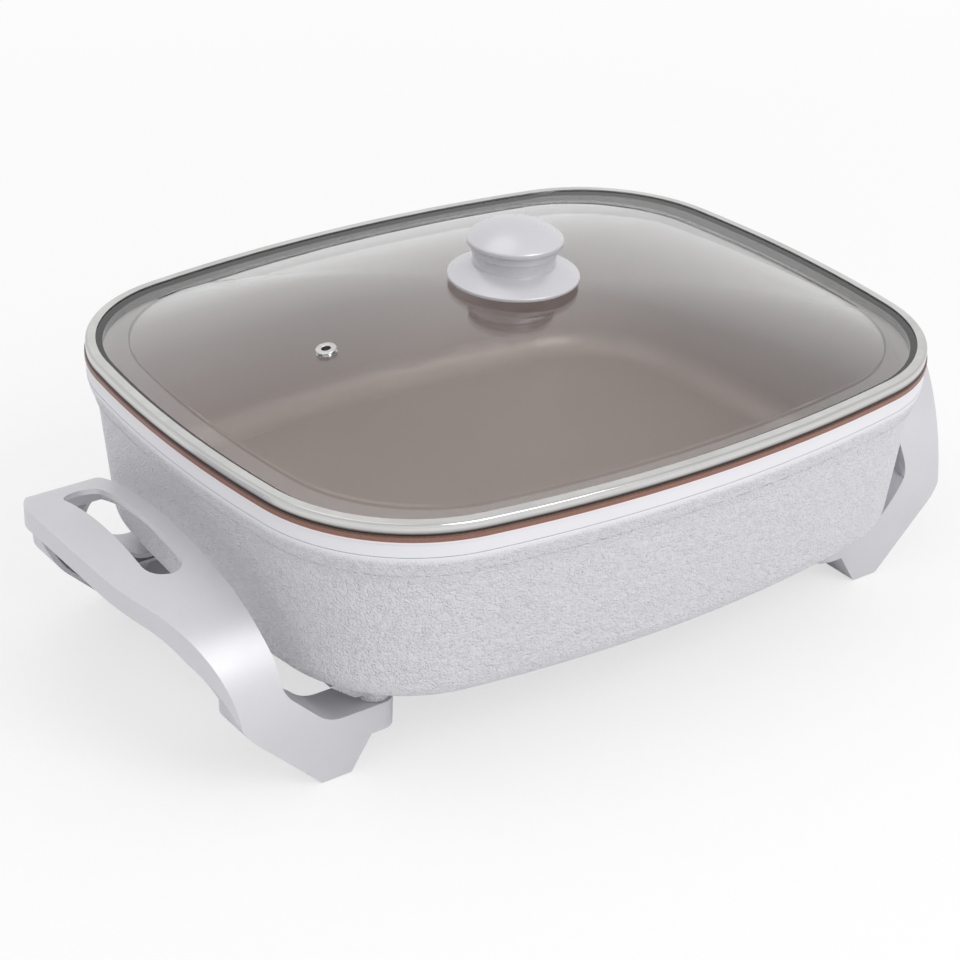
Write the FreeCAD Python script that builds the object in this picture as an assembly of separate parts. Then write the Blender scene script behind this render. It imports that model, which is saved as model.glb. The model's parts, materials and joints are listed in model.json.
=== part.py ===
import FreeCAD, Part
import math
import os
from FreeCAD import Vector

os.makedirs("parts", exist_ok=True)

# Countertop skillet with a loose glass lid. Millimetres, Z up.
# The origin is on the table, under the middle of the pan. X runs along the two grips.

# Driving sizes of the pan and its outline
lid_length = 400.0            # over the steel band of the lid
lid_width = 322.2
end_arc_radius = 625.0        # bulge of the two short sides
side_arc_radius = 750.0       # bulge of the two long sides
corner_radius = 85.0
pan_clearance = 46.0          # table to the underside of the floor
pan_depth = 97.0              # underside of the floor to the top of the coated rim
wall_thickness = 3.6
floor_thickness = 5.0
coating_thickness = 0.8
rim_ledge_width = 7.0         # flat top of the rim, which carries the lid
rim_bead_height = 4.0         # coated bead round the top
lip_height = 11.0             # smooth band down to the groove
lip_proud = 0.6               # how far the bead stands outside the lid band
groove_depth = 0.5
groove_width = 1.2
flare_height = 27.0           # rim to the foot of the flare
flare_inset = 5.2             # how far the wall has come in there
wall_draft = 0.105            # inset gained per millimetre of height below the flare
pan_bottom_radius = 14.0
pan_inner_radius = 16.0
ring_reach = 46.0             # how far in the wall ring runs before the flat floor takes over
mouth_drop = 5.0              # rim to the foot of the straight mouth inside
mouth_foot_radius = 4.0
inner_shoulder_share = 0.45   # where the inner wall turns under the rim, as a share of the flare
inner_shoulder_radius = 20.0
flare_foot_radius = 30.0
flare_turn_drop = 0.88        # upper turn of the flare, as shares of its height and inset
flare_turn_inset = 0.72
flare_turn_radius = 6.0
lip_foot_radius = 12.0
casting_edge_radius = 0.5
coated_edge_radius = 0.9

# Lid
band_thickness = 0.7
band_top_width = 5.2
band_skirt_drop = 4.0
band_edge_radius = 1.6
band_foot_radius = 0.4
lid_gap = 0.3                 # lid rests this far above the coated rim
skirt_gap = 0.7               # skirt of the band to the mouth of the pan
glass_thickness = 3.9
glass_edge_gap = 0.1
dome_share = 0.90             # outline of the dome as a share of the lid outline
dome_rise = 30.0
dome_flat_share = 0.085       # flat seat under the knob
dome_steps = 5

# Knob
knob_skirt_radius = 33.5
knob_skirt_rise = 8.0
knob_skirt_wall = 2.2
knob_neck_radius = 21.3
knob_neck_height = 10.5
knob_cap_radius = 24.5
knob_cap_rise = 9.5
knob_cap_edge = 3.0
knob_wall = 2.4
knob_boss_radius = 7.5
knob_insert_radius = 4.0
knob_insert_length = 10.0
knob_skirt_drop = 0.2         # the skirt hangs this far below its seat
knob_lip_rise = 0.6           # and its outer lip stands this far above that
knob_lip_height = 1.8
knob_lip_width = 1.6
knob_skirt_hollow = 4.0
knob_skirt_ledge = 0.4
knob_boss_gap = 1.0
knob_boss_drop = 0.2
knob_split_share = 0.56       # ring line round the neck, as a share of its height
knob_neck_step = 0.5
knob_neck_taper = 0.7
knob_cap_upper_radius = 1.4
knob_cap_lower_radius = 1.2
knob_screw_gap = 0.4
knob_screw_end_gap = 1.5
knob_screw_radius = 2.5
knob_screw_head_radius = 5.0
knob_screw_head_height = 3.0
knob_seal_radius = 12.0
knob_seal_thickness = 1.2
knob_washer_radius = 9.0
knob_washer_thickness = 1.0
knob_washer_edge = 0.4
glass_hole_gap = 0.6          # screw to the hole in the glass

# Steam vent
vent_x = -112.0
vent_y = 0.0
vent_seat_gap = 0.12          # flat washer and flange to the domed glass
vent_bore_radius = 2.25
vent_barrel_radius = 3.1
vent_flange_radius = 5.2
vent_flange_thickness = 0.9
vent_washer_thickness = 0.7
vent_barrel_gap = 0.1
vent_flange_step = 0.6        # how much smaller the curled lower flange is
vent_flange_edge = 0.6
vent_flange_foot = 0.2
vent_curl_edge = 0.3

# Grip and leg bracket
arch_half_width = 103.0       # over the two feet, from the middle
arch_crown = 107.0            # top of the grip above the table
arch_shoulder_share = 0.907   # radius of each shoulder, as a share of crown less spring
arch_spring = 32.0            # height where the legs become upright
bracket_wall = 2.8
grip_depth = 10.0             # depth of the edge flange along the grip
foot_depth = 24.0             # depth of the leg at the foot
foot_step_share = (0.37, 0.60)    # where the leg's depth steps down, as shares of the crown
grip_outer_x = 261.0          # middle of the outer edge
grip_shoulder_x = 254.5       # where the outer edge turns in towards the leg
grip_shoulder_y = 45.0
grip_shoulder_radius = 70.0
grip_edge_radius = 200.0
leg_outer_x = 221.0           # outer edge of the leg, where it becomes upright
wall_clearance = 13.0         # pan wall to the inner edge of the grip, at the rim outline
foot_outer_x = 180.0
foot_inner_x = 163.5
instep_x = 176.0              # where the top of the arm turns up into the leg
instep_radius = 20.0
ankle_share = 0.505           # inner bend of the leg, as a share of the crown's height
ankle_radius = 14.0
calf_step = 9.0               # the leg's outer edge leans out by this much between its two bends
calf_share = 0.617
calf_radius = 60.0
shin_share = 0.374
shin_radius = 30.0
arm_drop = 13.5               # underside of the pan to the top of the arm
past_bracket = 20.0           # how far construction solids run past the bracket
hub_x = 145.5
hub_radius = 9.5
hub_length = 15.0
slot_inner_gap = 9.0          # inner edge of the grip to the finger slot
slot_width = 20.0
slot_half_length = 49.0
slot_corner_radius = 9.0
slot_taper = 6.0              # how much shorter the slot's outer side is at each end
slot_cut_depth = 30.0
leg_edge = 4.0                # outside of the leg to the place that sets its inner edge
sole_radius = 2.0
sole_lean_share = 0.3         # how far the sole's outer edge follows the hollow
rib_thickness = 1.6
rib_places = (56.0, 72.0)     # ribs across the grip, from the middle
leg_rib_shares = (0.25, 0.44) # ribs across the leg, as shares of the crown's height
bracket_screw_radius = 2.5
bracket_screw_head_radius = 4.6
bracket_screw_head_height = 3.0
bracket_screw_bite = 8.0      # length of screw inside the lug
bracket_washer_radius = 6.0
bracket_washer_thickness = 1.0
washer_room = 0.8             # washer to the slope of the foot
screw_hole_gap = 0.4
screw_dome_share = 0.55       # rounding of each screw head, as a share of its height
screw_tip_radius = 0.6
lug_radius = 8.0
lug_seat_gap = 0.3
lug_rib_thickness = 5.0
lug_rib_step = 2.0            # seat of the lug to the lower edge of its rib
lug_rib_reach = 12.0          # where that edge turns up
lug_rib_length = 26.0

# Heater, probe well and inlet
heater_half_length = 128.0
heater_half_width = 95.0
heater_corner_radius = 45.0
heater_turn_radius = 20.0
heater_drop = 6.0             # underside of the pan to the middle of the heater
heater_radius = 3.3
heater_sheath_wall = 0.6
heater_wire_radius = 0.9
heater_ridge_radius = 6.6
terminal_spread = 19.0        # each pin from the middle
heater_end_x = 176.0
pin_end_x = 203.0
pin_radius = 2.4
bushing_length = 6.0
bushing_radius = 4.3
probe_well_radius = 4.6
probe_bore_radius = 3.2
probe_well_start_x = 112.0
probe_well_end_x = 182.0
probe_ridge_radius = 8.2
probe_end_wall = 6.0          # casting past the blind end of the probe well
probe_tube_wall = 2.0         # closed end of the tube itself
ridge_end_gap = 8.0           # end of the cast ridge to the end of the heater
neck_lead = 4.0               # cast web between the two heater ends
neck_depth = 2.0
pin_shank_radius = 1.5        # inner part of each pin, inside the heater
pin_shank_length = 14.0
pin_shoulder_lap = 0.5
pin_tip_radius = 1.2
bushing_collar = 1.5          # part of the bushing outside the heater
guard_back_x = 188.0
guard_front_x = 211.0
guard_half_width = 33.0
guard_drop = 12.5             # middle of the heater to the bottom of the guard
guard_rise = 13.0             # middle of the heater to the top of the guard
guard_wall = 2.0
guard_corner_radius = 6.0
guard_tongue_x = 146.0
guard_tongue_half_width = 34.0
guard_tongue_lap = 4.0        # tongue under the back edge of the shroud
guard_screw_x = 156.0
guard_screw_y = 25.0
guard_boss_radius = 5.5
guard_screw_radius = 2.0
guard_screw_head_radius = 3.6
guard_screw_head_height = 2.4
guard_screw_bite = 7.0

overlap = 1.0                 # how far joined solids and cuts run past a face
seam_lap = 0.01               # how far the flat floor runs into the ring of the wall
half_length = lid_length / 2
half_width = lid_width / 2
pan_underside = pan_clearance
rim_height = pan_clearance + pan_depth
heater_height = pan_underside - heater_drop
arm_top = pan_underside - arm_drop
lug_low = arm_top + lug_seat_gap
shank_start_x = heater_end_x - bushing_length - pin_shank_length
hub_bottom = arm_top - hub_length
guard_low = heater_height - guard_drop
guard_high = heater_height + guard_rise
arch_shoulder_radius = (arch_crown - arch_spring) * arch_shoulder_share
floor_top = pan_underside + floor_thickness
lid_base = rim_height + lid_gap
up = Vector(0, 0, 1)


def arc_centres():
    """Centre of the first corner arc and the two angles where it meets its neighbours."""
    end_centre_x = half_length - end_arc_radius
    side_centre_y = half_width - side_arc_radius
    to_end = end_arc_radius - corner_radius
    to_side = side_arc_radius - corner_radius
    gap = math.hypot(end_centre_x, side_centre_y)
    along = (to_end ** 2 - to_side ** 2 + gap ** 2) / (2 * gap)
    across = math.sqrt(to_end ** 2 - along ** 2)
    ux = -end_centre_x / gap
    uy = side_centre_y / gap
    x = end_centre_x + along * ux - across * uy
    y = along * uy + across * ux
    first = math.atan2(y, x - end_centre_x)
    second = math.atan2(y - side_centre_y, x)
    return end_centre_x, side_centre_y, x, y, first, second


end_cx, side_cy, corner_x, corner_y, angle_end, angle_side = arc_centres()

# The eight arcs of the outline: centre x, centre y, radius, start angle, end angle
outline_arcs = [
    (end_cx, 0.0, end_arc_radius, -angle_end, angle_end),
    (corner_x, corner_y, corner_radius, angle_end, angle_side),
    (0.0, side_cy, side_arc_radius, angle_side, math.pi - angle_side),
    (-corner_x, corner_y, corner_radius, math.pi - angle_side, math.pi - angle_end),
    (-end_cx, 0.0, end_arc_radius, math.pi - angle_end, math.pi + angle_end),
    (-corner_x, -corner_y, corner_radius, math.pi + angle_end, math.pi + angle_side),
    (0.0, -side_cy, side_arc_radius, math.pi + angle_side, 2 * math.pi - angle_side),
    (corner_x, -corner_y, corner_radius, -angle_side, -angle_end),
]


def on_circle(cx, cy, radius, angle, z):
    return Vector(cx + radius * math.cos(angle), cy + radius * math.sin(angle), z)


def outline_wire(inset, z, share=1.0):
    """The pan's outline moved in by an inset, or shrunk by a share, at a height."""
    edges = []
    for cx, cy, radius, start, end in outline_arcs:
        r = (radius - inset) * share
        points = [on_circle(cx * share, cy * share, r, start + (end - start) * t, z) for t in (0, 0.5, 1)]
        edges.append(Part.Arc(*points).toShape())
    return Part.Wire(edges)


def outline_plate(inset, low, high, share=1.0):
    return Part.Face(outline_wire(inset, low, share)).extrude(Vector(0, 0, high - low))


def rounded_wire(corners, place):
    """Closed wire through corners (a, b, radius), each rounded; place turns (a, b) into a point."""
    count = len(corners)
    starts = []
    for i in range(count):
        a, b, radius = corners[i]
        here = Vector(a, b, 0)
        before = Vector(corners[i - 1][0], corners[i - 1][1], 0) - here
        after = Vector(corners[(i + 1) % count][0], corners[(i + 1) % count][1], 0) - here
        half = before.getAngle(after) / 2
        if radius <= 0 or abs(half - math.pi / 2) < 1e-6:
            starts.append((here, None, here))
            continue
        reach = radius / math.tan(half)
        first = here + before.normalize() * reach
        last = here + after.normalize() * reach
        bisector = (before + after).normalize()
        middle = here + bisector * (radius / math.sin(half) - radius)
        starts.append((first, middle, last))
    edges = []
    for i in range(count):
        first, middle, last = starts[i]
        if middle is not None:
            arc = Part.Arc(place(first.x, first.y), place(middle.x, middle.y), place(last.x, last.y))
            edges.append(arc.toShape())
        following = starts[(i + 1) % count][0]
        if last.distanceToPoint(following) > 1e-6:
            edges.append(Part.LineSegment(place(last.x, last.y), place(following.x, following.y)).toShape())
    return Part.Wire(edges)


def ring(corners):
    """Solid whose section, given as (inset, height, rounding), runs right round the pan's outline."""
    pieces = []
    for cx, cy, radius, start, end in outline_arcs:
        section = Part.Face(rounded_wire(corners, lambda inset, z: Vector(radius - inset, 0, z)))
        piece = section.revolve(Vector(0, 0, 0), up, math.degrees(end - start))
        piece.rotate(Vector(0, 0, 0), up, math.degrees(start))
        piece.translate(Vector(cx, cy, 0))
        pieces.append(piece)
    whole = pieces[0].fuse(pieces[1:])
    return whole


def turned(corners, x=0.0, y=0.0):
    """Solid of revolution about an upright axis; corners are (radius, height, rounding)."""
    face = Part.Face(rounded_wire(corners, lambda r, z: Vector(r, 0, z)))
    solid = face.revolve(Vector(0, 0, 0), up, 360)
    solid.translate(Vector(x, y, 0))
    return solid


def cylinder(radius, low, high, x=0.0, y=0.0):
    return Part.makeCylinder(radius, high - low, Vector(x, y, low), up)


def rod(radius, start_x, end_x, y, z):
    return Part.makeCylinder(radius, end_x - start_x, Vector(start_x, y, z), Vector(1, 0, 0))


def box(x0, x1, y0, y1, z0, z1):
    return Part.makeBox(x1 - x0, y1 - y0, z1 - z0, Vector(x0, y0, z0))


def mirrored(shape, normal):
    return shape.mirror(Vector(0, 0, 0), normal)


def save(name, shape):
    if len(shape.Solids) == 1:
        shape = shape.Solids[0]
    if not shape.isValid():
        shape.fix(1e-6, 1e-6, 1e-6)
    shape.exportStep("parts/" + name + ".step")
    box_of = shape.BoundBox
    print("%-26s solids %d  valid %s  volume %.0f  x %.1f..%.1f  y %.1f..%.1f  z %.1f..%.1f" % (
        name, len(shape.Solids), shape.isValid(), shape.Volume, box_of.XMin, box_of.XMax,
        box_of.YMin, box_of.YMax, box_of.ZMin, box_of.ZMax))


# Sections of the pan wall: the outer side is shared by the pan and its coating
def wall_inset(z):
    """Inset of the drafted outer wall at a height below the flare."""
    return flare_inset + (rim_height - flare_height - z) * wall_draft


bead_foot = rim_height - rim_bead_height
groove_top = rim_height - lip_height
bead_outer = -lip_proud
mouth_inset = bead_outer + rim_ledge_width
inner_top_inset = max(mouth_inset, flare_inset + wall_thickness)
inner_shoulder = rim_height - flare_height * inner_shoulder_share
outer_bottom_inset = wall_inset(pan_underside)
inner_bottom_inset = wall_inset(floor_top) + wall_thickness


def inner_section(offset):
    """Corners of the inside of the pan, moved into the hollow by an offset."""
    return [
        (ring_reach, floor_top + offset, 0),
        (inner_bottom_inset + offset, floor_top + offset, pan_inner_radius - offset),
        (inner_top_inset + offset, inner_shoulder, inner_shoulder_radius),
        (mouth_inset + offset, rim_height - coating_thickness - mouth_drop, mouth_foot_radius),
    ]


def pan_body():
    top = rim_height - coating_thickness
    section = [
        (ring_reach, pan_underside, 0),
        (outer_bottom_inset, pan_underside, pan_bottom_radius),
        (flare_inset, rim_height - flare_height, flare_foot_radius),
        (flare_inset * flare_turn_inset, rim_height - flare_height * flare_turn_drop, flare_turn_radius),
        (0.0, groove_top - groove_width * 2, lip_foot_radius),
        (0.0, groove_top - groove_width, 0),
        (groove_depth, groove_top - groove_width / 2, 0),
        (0.0, groove_top, 0),
        (0.0, bead_foot, 0),
        (bead_outer + coating_thickness, bead_foot, 0),
        (bead_outer + coating_thickness, top, casting_edge_radius),
        (mouth_inset, top, casting_edge_radius),
    ]
    section += list(reversed(inner_section(0.0)))
    body = ring(section)
    body = body.fuse(outline_plate(ring_reach - seam_lap, pan_underside, floor_top))
    ridge = heater_pipe(heater_ridge_radius, heater_end_x - ridge_end_gap)
    probe_ridge = rod(probe_ridge_radius, probe_well_start_x - probe_end_wall, heater_end_x - probe_end_wall,
                      0, heater_height)
    neck = box(heater_half_length - neck_lead, heater_end_x - ridge_end_gap, -terminal_spread, terminal_spread,
               heater_height - neck_depth, pan_underside + overlap)
    body = body.fuse([ridge, probe_ridge, neck] + lugs() + guard_bosses())
    hollow = outline_plate(ring_reach + 2 * overlap, floor_top, rim_height)
    body = body.cut(hollow)
    body = body.cut(heater_pipe(heater_radius, heater_end_x))
    body = body.cut(rod(probe_well_radius, probe_well_start_x, probe_well_end_x, 0, heater_height))
    for x, y in bracket_screw_places():
        body = body.cut(cylinder(bracket_screw_radius, 0, lug_low + bracket_screw_bite + overlap, x, y))
    for x, y in guard_screw_places():
        body = body.cut(cylinder(guard_screw_radius, 0, guard_boss_low() + guard_screw_bite + overlap, x, y))
    return body.removeSplitter()


def coating():
    """Thin non-stick skin over the inside, the rim ledge and the bead."""
    inner = inner_section(0.0)
    facing = inner_section(coating_thickness)
    top = rim_height - coating_thickness
    section = inner + [
        (mouth_inset, top, casting_edge_radius),
        (bead_outer + coating_thickness, top, casting_edge_radius),
        (bead_outer + coating_thickness, bead_foot, 0),
        (bead_outer, bead_foot, 0),
        (bead_outer, rim_height, coated_edge_radius),
        (mouth_inset + coating_thickness, rim_height, coated_edge_radius),
    ] + list(reversed(facing))
    skin = ring(section)
    floor = outline_plate(ring_reach - seam_lap, floor_top, floor_top + coating_thickness)
    return skin.fuse(floor).removeSplitter()


def heater_path(end_x):
    """Centre line of the heater: a rounded loop whose ends turn out to the terminals."""
    x, y, r = heater_half_length, heater_half_width, heater_corner_radius
    t, s = heater_turn_radius, terminal_spread
    z = heater_height
    h = math.sqrt(0.5)
    half = [
        ("line", (end_x, s), (x + t, s)),
        ("arc", (x + t, s), (x + t - t * h, s + t - t * h), (x, s + t)),
        ("line", (x, s + t), (x, y - r)),
        ("arc", (x, y - r), (x - r + r * h, y - r + r * h), (x - r, y)),
        ("line", (x - r, y), (-x + r, y)),
        ("arc", (-x + r, y), (-x + r - r * h, y - r + r * h), (-x, y - r)),
    ]
    edges = []
    for kind, *points in half:
        at = [Vector(px, py, z) for px, py in points]
        edges.append((Part.LineSegment(*at) if kind == "line" else Part.Arc(*at)).toShape())
    edges.append(Part.LineSegment(Vector(-x, y - r, z), Vector(-x, -y + r, z)).toShape())
    for kind, *points in reversed(half):
        at = [Vector(px, -py, z) for px, py in reversed(points)]
        edges.append((Part.LineSegment(*at) if kind == "line" else Part.Arc(*at)).toShape())
    return Part.Wire(edges)


def heater_pipe(radius, end_x):
    start = Vector(end_x, terminal_spread, heater_height)
    circle = Part.Wire(Part.Circle(start, Vector(1, 0, 0), radius).toShape())
    return heater_path(end_x).makePipeShell([circle], True, True)


def terminal_sides():
    return (-terminal_spread, terminal_spread)


def heater_sheath():
    return heater_pipe(heater_radius, heater_end_x).cut(
        heater_pipe(heater_radius - heater_sheath_wall, heater_end_x))


def heater_insulation():
    core = heater_pipe(heater_radius - heater_sheath_wall, heater_end_x - bushing_length)
    core = core.cut(heater_pipe(heater_wire_radius, heater_end_x - bushing_length))
    for y in terminal_sides():
        core = core.cut(rod(pin_shank_radius, shank_start_x, heater_end_x, y, heater_height))
    return core


def heater_wire():
    return heater_pipe(heater_wire_radius, shank_start_x)


def terminal_pins():
    pins = []
    for y in terminal_sides():
        blade_start = heater_end_x + bushing_collar
        shank = rod(pin_shank_radius, shank_start_x, blade_start + pin_shoulder_lap, y, heater_height)
        blade = rod(pin_radius, blade_start, pin_end_x, y, heater_height)
        tip = [e for e in blade.Edges if e.BoundBox.XMin > pin_end_x - 0.1 and e.Length > pin_radius]
        pins.append(shank.fuse(blade.makeFillet(pin_tip_radius, tip)).removeSplitter())
    return Part.makeCompound(pins)


def terminal_bushings():
    pieces = []
    for y in terminal_sides():
        plug = rod(heater_radius - heater_sheath_wall, heater_end_x - bushing_length, heater_end_x, y, heater_height)
        collar = rod(bushing_radius, heater_end_x, heater_end_x + bushing_collar, y, heater_height)
        hole = rod(pin_shank_radius, shank_start_x, heater_end_x + bushing_collar + overlap, y, heater_height)
        pieces.append(plug.fuse(collar).cut(hole).removeSplitter())
    return Part.makeCompound(pieces)


def probe_well():
    tube = rod(probe_well_radius, probe_well_start_x, probe_well_end_x, 0, heater_height)
    return tube.cut(rod(probe_bore_radius, probe_well_start_x + probe_tube_wall, probe_well_end_x + overlap,
                        0, heater_height))


# Inlet guard
def guard_screw_places():
    return [(guard_screw_x, -guard_screw_y), (guard_screw_x, guard_screw_y)]


def guard_boss_low():
    return guard_low + guard_wall


def guard_bosses():
    return [cylinder(guard_boss_radius, guard_boss_low(), pan_underside + overlap, x, y)
            for x, y in guard_screw_places()]


def guard_wire(inset, x):
    y = guard_half_width - inset
    low = guard_low + inset
    high = guard_high - inset
    r = guard_corner_radius - inset
    return rounded_wire([(-y, low, r), (y, low, r), (y, high, r), (-y, high, r)], lambda a, b: Vector(x, a, b))


def inlet_guard():
    run = Vector(guard_front_x - guard_back_x, 0, 0)
    shroud = Part.Face(guard_wire(0, guard_back_x)).extrude(run)
    shroud = shroud.cut(Part.Face(guard_wire(guard_wall, guard_back_x)).extrude(run))
    corner = guard_corner_radius
    tongue_end = guard_back_x + guard_tongue_lap
    tongue = Part.Face(rounded_wire([
        (guard_tongue_x, -guard_tongue_half_width + corner, corner),
        (tongue_end, -guard_half_width + corner, 0),
        (tongue_end, guard_half_width - corner, 0),
        (guard_tongue_x, guard_tongue_half_width - corner, corner)],
        lambda a, b: Vector(a, b, guard_low))).extrude(Vector(0, 0, guard_wall))
    guard = shroud.fuse(tongue)
    for x, y in guard_screw_places():
        guard = guard.cut(cylinder(guard_screw_radius + screw_hole_gap, guard_low - overlap,
                                   guard_boss_low() + overlap, x, y))
    return guard.removeSplitter()


def pan_head_screw(radius, head_radius, head_height, head_top, tip, x, y):
    """Screw pointing up, with its domed head below."""
    return turned([
        (0, head_top - head_height, 0), (head_radius, head_top - head_height, head_height * screw_dome_share),
        (head_radius, head_top, 0), (radius, head_top, 0), (radius, tip, screw_tip_radius), (0, tip, 0)], x, y)


def guard_screws():
    return Part.makeCompound([
        pan_head_screw(guard_screw_radius, guard_screw_head_radius, guard_screw_head_height,
                       guard_low, guard_boss_low() + guard_screw_bite, x, y)
        for x, y in guard_screw_places()])


# Grip and leg brackets: the inner edge follows the pan's wall at a fixed clearance
grip_inset = wall_inset(arch_crown) - wall_clearance
grip_trim_low = arch_crown * 0.486
ankle_height = arch_crown * ankle_share
calf_height = arch_crown * calf_share
shin_height = arch_crown * shin_share
leg_inner_x = end_cx + math.sqrt((end_arc_radius - grip_inset) ** 2 - (arch_half_width - leg_edge) ** 2)
far_x = grip_outer_x + past_bracket
far_y = arch_half_width + past_bracket / 2
far_z = arch_crown + past_bracket
hub_y = arch_half_width - hub_radius


def bracket_screw_places():
    return [(sx * hub_x, sy * hub_y) for sx in (-1, 1) for sy in (-1, 1)]


def lugs():
    """Cast lugs under the pan that carry the brackets, each with a rib towards the end wall."""
    pieces = []
    for x, y in bracket_screw_places():
        outward = math.copysign(1.0, x)
        post = cylinder(lug_radius, lug_low, pan_underside + overlap, x, y)
        start = Vector(x, y, lug_low + lug_rib_step)
        knee = Vector(x + outward * lug_rib_reach, y, start.z + overlap)
        tip = Vector(outward * (hub_x + lug_rib_length), y, pan_underside + overlap / 2)
        rib = Part.Face(Part.makePolygon([start, knee, tip, Vector(x, y, pan_underside + overlap), start]))
        rib.translate(Vector(0, -lug_rib_thickness / 2, 0))
        pieces += [post, rib.extrude(Vector(0, lug_rib_thickness, 0))]
    return pieces


def arch_edges(inset, half_width, low):
    """Half outline of the three-centred arch, from the crown to the foot on the +Y side."""
    r = arch_shoulder_radius
    c = half_width - r
    crown_radius = (c ** 2 + (arch_spring - arch_crown) ** 2 - r ** 2) / (2 * (arch_crown - arch_spring - r))
    crown_centre = arch_crown - crown_radius
    lean = math.atan2(c, arch_spring - crown_centre)
    big = crown_radius - inset
    small = r - inset

    def crown_point(angle):
        return (big * math.sin(angle), crown_centre + big * math.cos(angle))

    def shoulder_point(angle):
        return (c + small * math.sin(angle), arch_spring + small * math.cos(angle))

    middle = (lean + math.pi / 2) / 2
    return [
        ("arc", crown_point(-lean), crown_point(0), crown_point(lean)),
        ("arc", shoulder_point(lean), shoulder_point(middle), shoulder_point(math.pi / 2)),
        ("line", shoulder_point(math.pi / 2), (half_width - inset, low)),
    ]


def arch_face(inset, low):
    """Face under the arch in the YZ plane at X = 0."""
    crown, shoulder, leg = arch_edges(inset, arch_half_width, low)
    edges = []

    def add(kind, points, side):
        at = [Vector(0, side * p[0], p[1]) for p in points]
        edges.append((Part.LineSegment(*at) if kind == "line" else Part.Arc(*at)).toShape())

    add("line", list(reversed(leg[1:])), -1)
    add("arc", list(reversed(shoulder[1:])), -1)
    add("arc", crown[1:], 1)
    add("arc", shoulder[1:], 1)
    add("line", leg[1:], 1)
    half = arch_half_width - inset
    edges.append(Part.LineSegment(Vector(0, half, low), Vector(0, -half, low)).toShape())
    return Part.Face(Part.Wire(edges))


def under_arch(inset, low=0.0):
    """Everything under the arch, as a long prism along X."""
    return arch_face(inset, low).extrude(Vector(far_x, 0, 0))


def band_hollow():
    """Space inside the arch that the bracket's flanges do not reach."""
    half = arch_half_width - grip_depth
    deep = arch_half_width - foot_depth
    step_low, step_high = (arch_crown * share for share in foot_step_share)
    past = half + overlap
    below = -2 * overlap
    prism = under_arch(grip_depth, -overlap)
    for side in (-1, 1):
        step = Part.Face(Part.makePolygon([Vector(0, side * y, z) for y, z in [
            (past, below), (past, step_high), (half, step_high), (deep, step_low), (deep, below), (past, below)]]))
        prism = prism.cut(step.extrude(Vector(far_x, 0, 0)))
    return prism


def side_profile(inset):
    """Bracket seen from the long side: grip, curved leg, foot and arm. Inset shrinks it for the hollow."""
    top = arch_crown + past_bracket / 2
    corners = [
        (hub_x, hub_bottom + inset, 0),
        (hub_x, arm_top - inset, 0),
        (instep_x, arm_top - inset, instep_radius + inset),
        (leg_inner_x + inset, ankle_height, ankle_radius + inset),
        (leg_inner_x + inset, top, 0),
        (far_x, top, 0),
        (leg_outer_x + calf_step - inset, calf_height, calf_radius),
        (leg_outer_x - inset, shin_height, shin_radius),
        (foot_outer_x - inset * sole_lean_share, inset, sole_radius),
        (foot_inner_x, inset, sole_radius),
        (hub_x + bracket_washer_radius + washer_room, hub_bottom + inset, 0),
    ]
    return Part.Face(rounded_wire(corners, lambda a, b: Vector(a, -far_y, b)))


def plan_prism(inset):
    """Grip and legs from above: the outer edge bulges in the middle and runs straight into the legs."""
    leg_y = arch_half_width + overlap
    corners = [
        (0, leg_y, 0), (leg_outer_x - inset, leg_y, 0),
        (grip_shoulder_x - inset, grip_shoulder_y, grip_shoulder_radius - inset),
        (grip_outer_x - inset, 0, grip_edge_radius),
        (grip_shoulder_x - inset, -grip_shoulder_y, grip_shoulder_radius - inset),
        (leg_outer_x - inset, -leg_y, 0), (0, -leg_y, 0)]
    face = Part.Face(rounded_wire(corners, lambda a, b: Vector(a, b, -overlap)))
    return face.extrude(Vector(0, 0, far_z))


def bracket_blank(inset):
    """Solid between the bracket's edges; with an inset, the hollow inside them."""
    prism = side_profile(inset).extrude(Vector(0, 2 * far_y, 0))
    body = prism.common(plan_prism(inset)).common(under_arch(bracket_wall if inset > 0 else 0.0))
    inner_edge = outline_plate(grip_inset - inset, grip_trim_low, far_z)
    return body.cut(inner_edge)


def finger_slot(x_inner):
    corners = [
        (x_inner, -slot_half_length, slot_corner_radius),
        (x_inner + slot_width, -slot_half_length + slot_taper, slot_corner_radius),
        (x_inner + slot_width, slot_half_length - slot_taper, slot_corner_radius),
        (x_inner, slot_half_length, slot_corner_radius),
    ]
    face = Part.Face(rounded_wire(corners, lambda a, b: Vector(a, b, arch_crown - slot_cut_depth)))
    return face.extrude(Vector(0, 0, slot_cut_depth + past_bracket))


def bracket_ribs(hollow, open_side):
    """Thin ribs across the hollow of the grip and of each leg."""
    plates = []
    for place in rib_places:
        for side in (-1, 1):
            y = side * place - rib_thickness / 2
            plates.append(box(0, far_x, y, y + rib_thickness, arch_spring, far_z))
    for height in [arch_crown * share for share in leg_rib_shares]:
        plates.append(box(0, far_x, -far_y, far_y, height, height + rib_thickness))
    ribs = plates[0].fuse(plates[1:])
    return ribs.common(hollow).cut(open_side)


def bracket():
    hollow = bracket_blank(bracket_wall)
    open_side = band_hollow()
    shell = bracket_blank(0.0).cut(hollow).cut(open_side)
    shell = shell.fuse(bracket_ribs(hollow, open_side))
    shell = shell.cut(finger_slot(half_length - grip_inset + slot_inner_gap))
    for side in (-1, 1):
        shell = shell.fuse(cylinder(hub_radius, hub_bottom, arm_top, hub_x, side * hub_y))
    for side in (-1, 1):
        hole = cylinder(bracket_screw_radius + screw_hole_gap, 0, arm_top + overlap, hub_x, side * hub_y)
        shell = shell.cut(hole)
    return shell.removeSplitter()


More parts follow.
